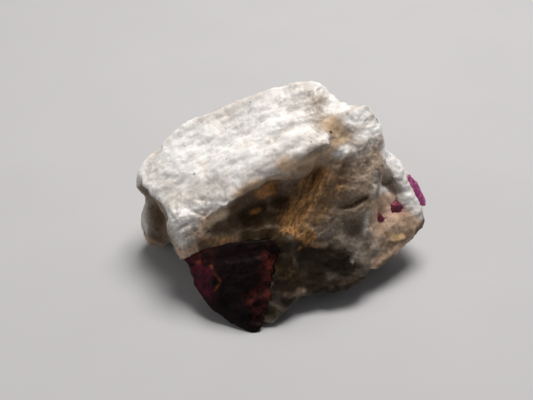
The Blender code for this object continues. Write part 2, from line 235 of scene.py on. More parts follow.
def write_points(mesh, points):
    """Moves the vertices of the mesh to landmarks in millimetres."""
    mesh.vertices.foreach_set("co", ((points - ORIGIN) * MM).ravel())
    mesh.update()


def write_amount(mesh, name, values):
    """A number for each vertex, which the material reads by name."""
    layer = mesh.attributes.new(name, "FLOAT", "POINT")
    layer.data.foreach_set("value", np.clip(values, 0, 1).astype(np.float32))


# Marble

TOP_NORMAL = np.array((-0.5, -0.42, 1.0)) / np.linalg.norm((-0.5, -0.42, 1.0))
TOP_POINT = np.array((-1.2, 10.0, 15.0))  # on the plane of the sloping top
GRAIN = (0.80, 0.33, 0.50)                # the way that the marble's grain runs
GROOVE = (0.45, 0.55, 0.72)               # the way that the groove runs

# How near a ruby, in millimetres, the marble is drawn right up to it, where that fades out, and how
# far below the ruby's surface it goes
CONTACT_REACH = 0.42
CONTACT_FADE = 0.95
CONTACT_SINK = 0.12

# Where a part of the marble begins and where it is full: heights in millimetres over the plane of the
# top or over the floor, or how squarely the surface faces that way
TOP_HEIGHTS = (-1.6, -0.2)
TOP_FACING = (0.35, 0.7)
FRONT_FACING = (0.0, -0.45)
BACK_FACING = (0.0, 0.5)
RELIEF_HEIGHTS = (0.05, 0.6)
HIGH_HEIGHTS = (4.0, 13.0)

# Sizes and heights of the marble's relief, in millimetres. A level is taken off a noise that is never
# below 0, so that the relief lies about the solid's surface and not all on one side of it.
GRAIN_SIZE = 0.95
GRAIN_TILT = 0.06
GRAIN_STEP = 0.02
SMALL_GRAIN_SIZE = 0.5
SMALL_GRAIN_TILT = 0.06
ROUGH_SIZE = 1.1
ROUGH_HEIGHT = 0.04
ROUGH_ADDED_IN_FRONT = 0.03
CREASE_SIZE = 1.5
FINE_CREASE_SIZE = 0.7
CREASE_LEVEL = 0.35
CREASE_DEPTH = 0.03
CREASE_ADDED_IN_FRONT = 0.13
LUMP_SIZE = 2.2
LUMP_HEIGHT = 0.24
CALM_LUMP_LOSS = 0.10
STREAK_SIZE = 0.75
STREAK_HEIGHT = 0.02
FOLD_SIZE = 1.9
FOLD_LEVEL = 0.3
FOLD_DEPTH = 0.12
KNOB_SIZE = 0.95
KNOB_LEVEL = 0.3
KNOB_HEIGHT = 0.34
PIT_SIZE = 0.7
PITTED_PATCH_SIZE = 3.0
PIT_DEPTH = 0.07
STRIA_SIZE = 0.5
STRIA_HEIGHT = 0.20
CRACK_DEPTH = 0.30
HOLLOW_DEPTH = 0.30

# How much of the relief of grains and creases the smoothest marble loses, and how smooth marble is
# under the tan stain where it would be 1 under the cream one
CALM_LOSS = 0.7
TAN_CALM = 0.55

# Places of relief, as lines of (start, end, half width, strength): the striated groove, the crack and
# the small hollow in the buttress, and the knobbly left pillar and lip
GROOVE_LINE = (((5.0, 12.9, 15.0), (1.2, 9.0, 9.0), 1.7, 1.0),)
CRACK = (
    ((6.4, 10.1, 9.9), (7.7, 10.5, 9.9), 0.32, 1.0),
    ((7.7, 10.5, 9.9), (9.2, 11.1, 10.5), 0.32, 1.0),
)
HOLLOW = (((7.7, 9.9, 7.8), (8.2, 9.7, 7.0), 0.8, 1.0),)
KNOBS = (
    ((-11.2, 9.2, 9.4), (-10.9, 7.9, 6.2), 1.7, 1.0),
    ((-10.0, 9.4, 10.0), (-6.2, 9.2, 11.4), 1.5, 0.55),
)


def meet_rubies(points):
    """Draws the marble round each ruby up to it, so that the socket's gap does not show."""
    moved = points.copy()
    for _, node, _, _, _ in RUBIES:
        bm = bmesh.new()
        bm.from_mesh(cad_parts[node].data)
        tree = BVHTree.FromBMesh(bm)
        bm.free()
        low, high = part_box(node)
        low = np.array(low) / MM + ORIGIN - CONTACT_FADE
        high = np.array(high) / MM + ORIGIN + CONTACT_FADE
        near = np.nonzero(((points > low) & (points < high)).all(axis=1))[0]
        for i in near:
            spot = row_place(points[i])
            hit, _, _, distance = tree.find_nearest(spot, CONTACT_FADE * MM)
            if hit is None or distance < TINY:
                continue
            reach = distance / MM
            share = float(1 - smoothstep(CONTACT_REACH, CONTACT_FADE, np.array(reach)))
            pull = (hit - spot).normalized() * (reach + CONTACT_SINK) * share
            moved[i] += np.array(pull)
    return moved


# Stains of the marble: name, the two colours between which it varies, how ragged and how soft its edge
# is, and lines of (start, end, half width, strength). Each is laid over those before it. Some entries
# are painted shade or painted highlights instead of stains, as said at each.
STAINS = (
    # painted shade: greyer beige over the top near the lip, on the summit, along the back crest and on
    # the left lobe
    ("painted_shade_veil", (0.46, 0.42, 0.385), (0.66, 0.62, 0.585), 0.7, 0.45, (
        ((-9.6, 8.6, 10.0), (-4.6, 9.0, 12.6), 1.1, 0.6),
        ((-11.6, 11.0, 10.1), (-6.6, 10.4, 12.4), 1.7, 0.8),
        ((-13.4, 13.6, 10.4), (-12.4, 12.8, 10.4), 1.2, 0.6),
        ((-4.6, 9.2, 12.8), (0.4, 11.2, 15.8), 1.5, 0.75),
        ((0.4, 12.0, 16.2), (4.0, 13.0, 17.0), 1.3, 0.6),
        ((1.6, 20.2, 19.8), (5.2, 18.8, 19.0), 1.6, 0.7),
        ((-9.0, 20.0, 15.2), (-2.0, 20.2, 18.2), 1.3, 0.6),
        ((-2.4, 13.0, 16.2), (0.9, 14.6, 17.6), 0.6, 0.8),
        ((-15.3, 15.2, 8.8), (-14.3, 18.6, 12.4), 0.6, 0.8),
    )),
    # painted shade: near black on the lower front, beside the front ruby's right edge and under the
    # overhangs
    ("low", (0.011, 0.008, 0.005), (0.040, 0.029, 0.018), 0.6, 0.30, (
        ((1.0, 4.4, 4.4), (3.4, 5.6, 4.2), 2.6, 1.0),
        ((2.0, 7.2, 6.6), (6.6, 7.0, 4.6), 2.3, 0.95),
        ((4.0, 5.4, 2.4), (8.6, 6.8, 2.6), 1.9, 0.8),
        ((-0.6, 7.4, 8.2), (1.6, 7.6, 8.0), 1.2, 0.9),
        ((-1.6, 3.0, 1.6), (-0.4, 3.8, 1.0), 1.1, 1.0),
        ((0.2, 6.2, 7.6), (0.4, 4.0, 2.6), 1.5, 1.0),
        ((-0.4, 5.2, 6.4), (-1.2, 3.2, 3.2), 0.9, 1.0),
    )),
    ("tan", (0.41, 0.275, 0.185), (0.66, 0.485, 0.37), 0.6, 0.28, (
        ((10.8, 11.6, 6.8), (14.6, 13.2, 5.4), 3.0, 0.85),
        ((10.6, 11.6, 8.6), (13.0, 13.8, 8.0), 1.8, 0.8),
        ((10.3, 8.5, 3.4), (14.4, 11.6, 3.9), 1.2, 0.8),
        ((0.3, 3.7, 3.2), (2.2, 4.6, 2.9), 0.8, 0.52),
        ((3.3, 7.5, 7.0), (4.5, 7.8, 6.6), 0.7, 0.5),
        ((11.4, 12.6, 8.6), (12.6, 14.9, 8.0), 1.2, 0.8),
        ((-15.8, 15.0, 1.8), (-14.0, 15.0, 1.4), 0.9, 0.9),
        ((-11.0, 7.6, 5.6), (-8.6, 7.8, 7.2), 0.9, 0.9),
        ((-9.0, 7.5, 8.6), (-8.6, 7.5, 8.1), 0.5, 0.8),
        ((-8.2, 8.3, 9.4), (-5.8, 9.1, 10.4), 1.1, 0.9),
        ((7.0, 22.6, 6.0), (3.0, 24.0, 9.0), 1.6, 0.6),
        ((-12.0, 20.0, 5.0), (-9.0, 22.6, 6.0), 1.4, 0.5),
    )),
    ("cream", (0.46, 0.305, 0.175), (0.71, 0.555, 0.405), 0.3, 0.42, (
        ((0.2, 10.6, 15.0), (3.4, 11.9, 14.8), 1.0, 1.0),
        ((5.1, 14.5, 17.6), (6.2, 14.4, 16.7), 1.15, 1.0),
        ((5.5, 13.3, 16.0), (6.8, 14.8, 16.6), 0.9, 0.9),
        ((-2.0, 10.2, 13.4), (0.6, 11.0, 13.8), 0.8, 0.8),
        ((-11.4, 8.2, 6.4), (-10.6, 8.4, 8.4), 0.9, 0.5),
        ((-5.4, 8.8, 12.0), (-4.5, 9.0, 12.5), 0.7, 0.8),
        ((-4.5, 9.0, 12.5), (-2.6, 9.7, 13.5), 0.7, 0.85),
        ((6.6, 15.4, 17.0), (8.6, 15.8, 16.6), 1.0, 0.55),
    )),
    # brown iron stain, deepened as painted shade in the recess under the lip, the crack, the lobe's foot
    # and the undersides
    ("brown", (0.065, 0.040, 0.023), (0.20, 0.128, 0.075), 0.5, 0.36, (
        ((-7.0, 8.0, 8.3), (-5.0, 8.6, 9.1), 0.8, 0.9),
        ((-4.6, 9.4, 10.4), (-1.6, 10.4, 12.0), 1.7, 1.0),
        ((-6.6, 8.4, 8.8), (0.4, 9.0, 9.4), 1.7, 0.95),
        ((-0.6, 9.8, 10.8), (3.4, 11.2, 13.0), 1.6, 0.9),
        ((5.8, 12.2, 13.2), (3.4, 9.4, 9.6), 2.0, 0.85),
        ((7.0, 12.0, 12.2), (5.6, 9.8, 9.6), 1.6, 0.6),
        ((12.2, 15.2, 9.8), (12.9, 14.8, 8.6), 0.7, 0.5),
        ((6.8, 10.2, 9.8), (9.0, 11.2, 10.3), 0.9, 0.72),
        ((7.6, 10.1, 8.0), (8.3, 9.8, 6.9), 0.7, 0.6),
        ((-14.4, 15.0, 5.8), (-13.4, 14.6, 3.6), 1.6, 0.85),
        ((-8.8, 7.4, 7.0), (-4.5, 7.5, 8.2), 0.6, 1.0),
        ((-5.0, 7.6, 8.2), (-2.0, 7.5, 8.7), 0.8, 1.0),
        ((-15.0, 14.8, 2.6), (-14.0, 14.8, 2.0), 0.8, 0.8),
        ((-10.4, 9.8, 9.9), (-9.4, 8.8, 9.6), 0.5, 0.5),
        ((10.9, 8.6, 3.0), (12.3, 9.9, 3.2), 0.6, 0.85),
        ((12.6, 10.2, 3.0), (14.0, 11.4, 3.0), 0.5, 0.7),
        ((16.4, 13.9, 5.3), (15.4, 12.9, 4.4), 0.7, 0.75),
        ((5.1, 14.5, 17.6), (6.2, 14.4, 16.7), 0.8, 0.38),
        ((13.4, 13.0, 6.9), (14.3, 12.6, 5.6), 1.0, 0.55),
        ((12.0, 10.3, 4.6), (14.5, 12.3, 4.9), 0.9, 0.66),
        ((5.8, 9.8, 10.2), (5.2, 9.2, 9.2), 0.9, 0.65),
        ((1.7, 10.7, 14.7), (2.9, 11.2, 14.3), 0.6, 0.5),
        ((-4.2, 9.2, 12.9), (-2.9, 9.7, 13.3), 0.5, 0.5),
        ((4.6, 22.8, 15.0), (6.4, 22.8, 9.0), 0.9, 0.6),
        ((-5.0, 23.4, 4.6), (-1.0, 23.6, 3.6), 1.3, 0.6),
    )),
    # painted shade: near black in the recess under the lip, above the front ruby and in the crack
    ("deep", (0.018, 0.011, 0.005), (0.060, 0.036, 0.016), 0.5, 0.36, (
        ((-4.2, 9.0, 9.4), (-2.2, 9.8, 10.2), 1.0, 0.95),
        ((-3.6, 8.8, 9.2), (0.6, 9.0, 9.4), 1.2, 0.95),
        ((-0.6, 9.8, 10.8), (0.8, 9.6, 10.4), 1.1, 0.9),
        ((-0.8, 7.0, 8.6), (0.4, 6.6, 7.8), 0.7, 0.9),
        ((0.4, 5.0, 5.6), (0.8, 4.4, 3.6), 1.0, 0.9),
        ((-3.9, 7.5, 8.3), (0.2, 7.2, 8.8), 0.8, 1.0),
        ((6.4, 10.1, 9.9), (7.7, 10.5, 9.9), 0.28, 1.0),
        ((7.7, 10.5, 9.9), (9.2, 11.1, 10.5), 0.28, 1.0),
        ((4.95, 13.9, 17.1), (5.1, 13.9, 17.1), 0.22, 1.0),
    )),
    # tan-cream colour painted lighter, as painted light, where the groove's top and the recess's left
    # fall in shade
    ("buff_and_painted_light", (0.60, 0.44, 0.29), (0.88, 0.72, 0.54), 0.5, 0.30, (
        ((5.1, 13.2, 15.1), (4.3, 13.0, 13.8), 1.0, 1.0),
        ((-7.9, 8.4, 9.3), (-6.3, 8.9, 10.0), 0.8, 0.75),
    )),
    ("frost", (0.34, 0.31, 0.285), (0.60, 0.565, 0.53), 1.0, 0.30, (
        ((9.3, 10.4, 9.0), (9.0, 9.4, 7.0), 0.45, 0.7),
        ((8.8, 8.9, 6.4), (7.6, 7.4, 4.9), 0.50, 0.5),
        ((9.8, 9.9, 7.2), (10.0, 9.2, 5.6), 0.45, 0.5),
        ((10.2, 13.2, 12.6), (9.8, 11.4, 10.6), 0.5, 0.65),
    )),
    ("rust", (0.32, 0.13, 0.038), (0.60, 0.30, 0.11), 1.0, 0.28, (
        ((-2.4, 10.2, 11.8), (-0.8, 10.8, 12.2), 0.8, 0.9),
        ((-3.3, 9.4, 9.8), (-2.5, 9.6, 10.0), 0.45, 0.55),
        ((11.2, 10.4, 6.4), (11.6, 10.6, 6.0), 0.4, 0.8),
        ((13.4, 12.9, 6.8), (14.0, 13.2, 6.4), 0.5, 0.5),
        ((-0.3, 6.7, 6.4), (1.9, 6.8, 7.0), 0.30, 0.55),
        ((1.9, 6.8, 7.0), (3.7, 7.5, 6.7), 0.30, 0.60),
    )),
    # painted highlight: near white on the lit bench and east rim, the left pillar and a glinting cleavage
    # face
    ("painted_highlight", (0.90, 0.895, 0.885), (0.94, 0.935, 0.925), 0.5, 0.30, (
        ((11.7, 16.7, 12.4), (12.9, 15.9, 11.0), 0.9, 1.0),
        ((5.7, 13.0, 15.0), (6.7, 13.4, 15.4), 0.5, 1.0),
        ((13.2, 15.9, 10.4), (14.6, 14.9, 8.0), 0.6, 0.8),
        ((-10.8, 9.2, 10.0), (-11.0, 8.6, 8.8), 0.6, 0.8),
    )),
    # painted highlight: golden glints of cleavage faces on the east face and in front
    ("glint", (0.44, 0.25, 0.11), (0.86, 0.66, 0.40), 0.9, 0.30, (
        ((12.2, 10.9, 5.2), (13.5, 11.4, 5.0), 0.42, 1.0),
        ((11.6, 11.0, 5.6), (12.2, 11.2, 5.6), 0.30, 0.8),
        ((2.2, 8.6, 9.0), (3.2, 8.4, 8.2), 0.30, 0.8),
    )),
    ("pink", (0.40, 0.19, 0.19), (0.60, 0.37, 0.34), 0.6, 0.35, (
        ((12.2, 13.2, 7.4), (13.8, 13.6, 7.2), 1.0, 0.85),
        ((10.6, 11.6, 7.4), (11.4, 11.6, 7.2), 0.8, 0.8),
    )),
    ("maroon", (0.16, 0.03, 0.06), (0.30, 0.09, 0.14), 0.8, 0.25, (
        ((12.1, 13.2, 7.5), (14.0, 13.9, 7.2), 0.50, 1.0),
        ((11.1, 11.7, 7.3), (11.8, 12.0, 7.2), 0.30, 0.8),
    )),
)

# Lines of the same kind: golden iron stain in fibres down the groove, glossy calcite, and marble that
# stays white in front
IRON = (
    ((4.2, 12.2, 13.0), (3.6, 11.8, 12.6), 1.0, 1.0),
    ((3.6, 11.8, 12.6), (1.2, 8.8, 9.0), 1.6, 1.0),
    ((6.2, 11.6, 12.0), (3.4, 9.4, 9.2), 1.0, 0.6),
    ((0.6, 7.9, 8.9), (2.8, 7.8, 7.8), 1.0, 0.9),
    ((-9.0, 7.6, 7.7), (-5.6, 7.6, 8.0), 0.5, 0.5),
    ((-2.6, 10.2, 11.6), (-0.6, 10.8, 12.2), 0.8, 0.42),
)
GLOSS = (
    ((5.6, 13.0, 14.9), (6.8, 13.4, 15.4), 0.7, 1.0),
    ((12.0, 10.8, 5.2), (13.2, 11.2, 5.0), 0.5, 1.0),
    ((4.6, 11.8, 13.0), (2.2, 9.6, 10.0), 0.8, 0.6),
    ((10.8, 8.8, 3.4), (13.4, 10.8, 3.8), 0.7, 0.5),
)
WHITE = (
    ((-7.6, 8.6, 10.7), (-5.4, 8.8, 11.9), 0.8, 0.65),
    ((11.6, 16.8, 12.0), (14.2, 17.2, 9.8), 1.1, 1.0),
    ((11.9, 16.6, 12.3), (13.3, 15.9, 10.7), 1.2, 1.0),
    ((13.6, 15.7, 9.6), (15.2, 14.3, 6.7), 1.0, 1.0),
    ((15.2, 14.3, 6.7), (15.9, 13.9, 5.9), 0.7, 0.7),
    # painted highlight: this line whitens a glinting cleavage face
    ((5.6, 13.0, 14.9), (6.8, 13.4, 15.4), 0.6, 1.0),
    ((7.6, 16.0, 17.3), (9.4, 17.4, 17.8), 1.5, 1.0),
    ((8.8, 15.6, 15.9), (10.6, 16.8, 16.2), 1.5, 0.9),
    ((4.0, 12.6, 16.9), (4.9, 12.7, 16.8), 0.6, 1.0),
    ((7.5, 13.7, 15.3), (8.4, 13.9, 14.8), 0.8, 0.5),
    ((4.7, 13.2, 14.7), (4.1, 12.9, 13.9), 0.7, 0.6),
    ((-16.2, 15.4, 6.8), (-16.2, 15.4, 3.0), 0.8, 0.85),
    ((4.6, 19.4, 19.6), (6.8, 17.6, 18.4), 1.5, 1.0),
    ((-11.0, 9.0, 9.4), (-10.9, 8.2, 7.2), 1.2, 0.75),
)


def amount_along(points, lines):
    """How much of a stain or a relief that is given by lines lies at each point."""
    total = np.zeros(len(points))
    for start, end, half_width, strength in lines:
        total = np.maximum(total, strength * near_line(points, start, end, half_width))
    return total


def marble_zones(points, normals):
    """How far each point belongs to the sloping top, to the front and to the back."""
    above = (points - TOP_POINT) @ TOP_NORMAL
    top = smoothstep(*TOP_HEIGHTS, above) * smoothstep(*TOP_FACING, normals @ TOP_NORMAL)
    front = smoothstep(*FRONT_FACING, normals[:, 1]) * (1 - top)
    back = smoothstep(*BACK_FACING, normals[:, 1]) * (1 - top)
    return top, front, back


def grain_relief(points, front):
    """Broken faces of calcite grains, coarse ones along the marble's grain and fine ones between."""
    vector, number = nearest_grain(stretched(points, GRAIN, 1.8) / GRAIN_SIZE, seed=3)
    facets = facet_heights(vector, number) * GRAIN_TILT + (number - 0.5) * GRAIN_STEP
    vector, number = nearest_grain(points / SMALL_GRAIN_SIZE, seed=11)
    slope = np.stack([np.sin(number * 50.0), np.cos(number * 50.0), np.sin(number * 83.0)], axis=1)
    small_facets = (vector * slope).sum(axis=1) * SMALL_GRAIN_TILT
    return facets * (0.5 + 0.5 * front) + small_facets * (0.45 + 0.55 * front)


def crease_relief(points, front):
    """Roughness cut by creases, deepest in front."""
    rough = layered_noise(points / ROUGH_SIZE, seed=35, layers=3, fade=0.6)
    creases = (np.abs(smooth_noise(points / CREASE_SIZE, seed=37))
               + 0.5 * np.abs(smooth_noise(points / FINE_CREASE_SIZE, seed=39)))
    rough_height = ROUGH_HEIGHT + ROUGH_ADDED_IN_FRONT * front
    crease_depth = CREASE_DEPTH + CREASE_ADDED_IN_FRONT * front
    return rough_height * rough - crease_depth * (creases - CREASE_LEVEL)


def pitting(points, front):
    """How deep each point lies in the small pits, which come in patches."""
    pits = smooth_noise(stretched(points, GRAIN, 1.7) / PIT_SIZE, seed=41)
    patches = smooth_noise(points / PITTED_PATCH_SIZE, seed=43)
    return smoothstep(0.30, 0.75, pits) * smoothstep(-0.1, 0.4, patches) * (0.4 + 0.6 * front)


def marble_skin():
    """The marble's skin with its fine relief, and the amounts that its material reads."""
    obj = skin_over("marble_block", "marble_matrix", MARBLE_CELL, 3)
    mesh = obj.data
    points, normals = read_points(mesh)
    top, front, back = marble_zones(points, normals)
    stains = {name: amount_along(points, lines) for name, _, _, _, _, lines in STAINS}
    white = amount_along(points, WHITE)
    calm = np.maximum(stains["cream"], TAN_CALM * stains["tan"])
    knobs = amount_along(points, KNOBS)
    pits = pitting(points, front)
    groove = amount_along(points, GROOVE_LINE)

    lumps = layered_noise(stretched(points, GRAIN, 1.5) / LUMP_SIZE, seed=31, layers=3, fade=0.55)
    streaks = smooth_noise(stretched(points, GRAIN, 5.0) / STREAK_SIZE, seed=21)
    folds = np.abs(smooth_noise(stretched(points, GRAIN, 1.8) / FOLD_SIZE, seed=45))
    knobbles = np.abs(layered_noise(points / KNOB_SIZE, seed=47, layers=2, fade=0.6))
    striae = smooth_noise(stretched(points, GROOVE, 8.0) / STRIA_SIZE, seed=51)
    height = grain_relief(points, front) + crease_relief(points, front)
    height = (height * (1 - CALM_LOSS * calm) + (LUMP_HEIGHT - CALM_LUMP_LOSS * calm) * lumps
              + STREAK_HEIGHT * streaks)
    height -= FOLD_DEPTH * (1 - front) * (folds - FOLD_LEVEL)
    height += KNOB_HEIGHT * knobs * (KNOB_LEVEL - knobbles)
    height -= CRACK_DEPTH * amount_along(points, CRACK) + HOLLOW_DEPTH * amount_along(points, HOLLOW)
    height -= PIT_DEPTH * pits
    height += STRIA_HEIGHT * striae * groove
    height *= smoothstep(*RELIEF_HEIGHTS, points[:, 2])
    raised = points + normals * height[:, None]
    raised[:, 2] = np.maximum(raised[:, 2], 0.0)
    write_points(mesh, meet_rubies(raised))

    write_amount(mesh, "pale", np.maximum(top, white))
    # front-facing marble is darkened with this in the material: real grey-brown staining and painted
    # shade
    write_amount(mesh, "front", front * (1 - white))
    write_amount(mesh, "back", back)
    for name, values in stains.items():
        write_amount(mesh, name, values * (1 - 0.7 * white))
    write_amount(mesh, "iron", amount_along(points, IRON))
    write_amount(mesh, "gloss", amount_along(points, GLOSS))
    # the material lightens the front higher up with this: painted shade deepening towards the floor
    write_amount(mesh, "high", smoothstep(*HIGH_HEIGHTS, points[:, 2]))
    write_amount(mesh, "smooth", np.maximum.reduce((calm, 0.8 * top, 0.8 * white)) * (1 - knobs))
    # Painted shade darkens the hollows and pits and the gaps between the knobs, less of it on cream and
    # white marble
    low_parts = (smoothstep(0.02, -0.25, height) * 0.7 + 0.5 * pits
                 + 0.8 * knobs * smoothstep(-0.04, -0.16, height))
    write_amount(mesh, "hollow_shade", low_parts * (1 - 0.8 * np.maximum(stains["cream"], 0.6 * white)))
    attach(obj, "root")
    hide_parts("marble_matrix")
    return obj


# Rubies

# On the front ruby, as lines of (start, end, half width, strength): the facet painted brighter, as
# painted light coming through it, the parts where it is reddish brown, and painted highlights along the
# facet's edges
PAINTED_GLOW = (
    ((-10.0, 6.7, 4.9), (-8.3, 5.1, 4.7), 1.1, 1.0),
    ((-9.0, 5.2, 3.9), (-7.9, 4.2, 3.0), 1.1, 0.9),
)
WARM = (
    ((-1.3, 5.6, 6.8), (-1.4, 3.6, 3.4), 0.9, 0.9),
    ((-2.9, 3.1, 3.0), (-1.9, 2.6, 1.4), 0.9, 0.9),
    ((-9.4, 7.2, 6.2), (-7.4, 6.6, 6.0), 0.6, 0.7),
)
EDGE_HIGHLIGHT_LINES = (
    ((-7.6, 5.6, 5.6), (-6.6, 4.1, 4.6), 0.15, 1.0),
    ((-6.6, 4.1, 4.6), (-7.2, 3.9, 3.7), 0.13, 0.9),
    ((-9.6, 6.6, 5.3), (-8.3, 6.1, 5.7), 0.20, 0.8),
)

# Relief of a ruby of the full size or more, in millimetres; on a smaller one it shrinks with the ruby
FULL_SIZE = 6.0
PARTING_SIZE = 0.62
PARTING_HEIGHT = 0.03
PARTING_WAVE_SIZE = 1.4
CHIP_SIZE = 1.1
CHIP_SQUEEZE = np.array((0.7, 1.0, 1.6))  # chips are wide along the partings and thin across
CHIP_HEIGHT = 0.02
RIPPLE_SIZE = 0.8
RIPPLE_HEIGHT = 0.02
PARTING_TURN = np.array(((0.84, 0.42, -0.34), (-0.5, 0.82, -0.24), (0.2, 0.38, 0.9)))


def ruby_skin(name, node, cell):
    """A ruby's skin with its fine relief: thin parting steps, ripples and small chips."""
    obj = skin_over(name, node, cell, 1)
    mesh = obj.data
    points, normals = read_points(mesh)
    size = max(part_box(node)[1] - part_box(node)[0]) / MM
    scale = min(1.0, size / FULL_SIZE)
    turned = points @ PARTING_TURN
    wave = 0.5 * smooth_noise(turned / (PARTING_WAVE_SIZE * scale), seed=61)
    steps = np.floor(turned[:, 2] / (PARTING_SIZE * scale) + wave)
    step_height = hash_cells(np.stack([steps, steps * 0, steps * 0], axis=1), seed=5) - 0.5
    vector, number = nearest_grain(turned * CHIP_SQUEEZE / (CHIP_SIZE * scale), seed=71)
    chips = facet_heights(vector, number)
    ripple = layered_noise(points / (RIPPLE_SIZE * scale), seed=81)
    height = scale * (PARTING_HEIGHT * step_height + CHIP_HEIGHT * chips + RIPPLE_HEIGHT * ripple)
    points = points + normals * height[:, None]
    points[:, 2] = np.maximum(points[:, 2], 0.0)
    write_points(mesh, points)
    write_amount(mesh, "painted_glow", amount_along(points, PAINTED_GLOW))
    write_amount(mesh, "warm", amount_along(points, WARM))
    write_amount(mesh, "edge_highlight", amount_along(points, EDGE_HIGHLIGHT_LINES))
    write_amount(mesh, "flake", number)
    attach(obj, "root")
    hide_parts(node)
    return obj


# Materials

# Colours of the marble, as linear red, green and blue. A pair is the two between which one varies.
FRESH_MARBLE = ((0.76, 0.755, 0.755), (0.87, 0.86, 0.85))
WARM_STREAK = (0.66, 0.62, 0.58)
PEACH_CLOUD = (0.82, 0.73, 0.66)
COOL_CLOUD = (0.70, 0.69, 0.70)
# The front: real grey-brown staining deepened by painted shade, the darker pair low down where the
# painted shade is deepest
FRONT_BELOW = ((0.14, 0.115, 0.09), (0.29, 0.245, 0.20))
FRONT_ABOVE = ((0.22, 0.155, 0.105), (0.46, 0.37, 0.295))
FRONT_FLECK = (0.14, 0.105, 0.07)
BACK_MARBLE = ((0.30, 0.265, 0.225), (0.56, 0.53, 0.485))
BACK_TAN = (0.33, 0.235, 0.155)
BACK_FLECK = (0.20, 0.155, 0.11)
GOLD = ((0.11, 0.060, 0.027), (0.46, 0.245, 0.090))
BRIGHT_FIBRE = (0.68, 0.45, 0.22)
# Painted shade in hollows, pits and the gaps between knobs, on grey and on pale marble
HOLLOW_SHADE_ON_GREY = (0.10, 0.07, 0.048)
HOLLOW_SHADE_ON_PALE = (0.50, 0.43, 0.36)
LIGHT_SPECK = (1.6, 1.52, 1.40)           # multiplied with the colour below
DARK_SPECK = (0.56, 0.50, 0.42)           # multiplied with the colour below
PINPRICK = (0.10, 0.07, 0.05)

# Colours of the rubies' reddish brown parts, painted edge highlights and dark spots, and of the floor
RUBY_WARM = (0.105, 0.019, 0.014)
RUBY_EDGE_HIGHLIGHT = (0.24, 0.06, 0.022)
RUBY_SPOT = (0.02, 0.004, 0.006)
FLOOR_COLOURS = ((0.42, 0.42, 0.43), (0.45, 0.45, 0.46))

# Ruby materials: name, deep colour, bright colour, colour of the facet painted as lit (painted light),
# and how translucent it is
RUBY_LOOKS = (
    ("dark_ruby", (0.003, 0.001, 0.0012), (0.010, 0.003, 0.0035), (0.070, 0.006, 0.018), 0.0),
    ("grain_ruby", (0.10, 0.018, 0.036), (0.25, 0.065, 0.09), (0.25, 0.065, 0.09), 0.3),
    ("pink_ruby", (0.26, 0.05, 0.15), (0.50, 0.17, 0.34), (0.50, 0.17, 0.34), 0.5),
)

# Added to coordinates in millimetres where a second pattern must not repeat the first
PATTERN_SHIFT = (31.0, 17.0, 53.0)


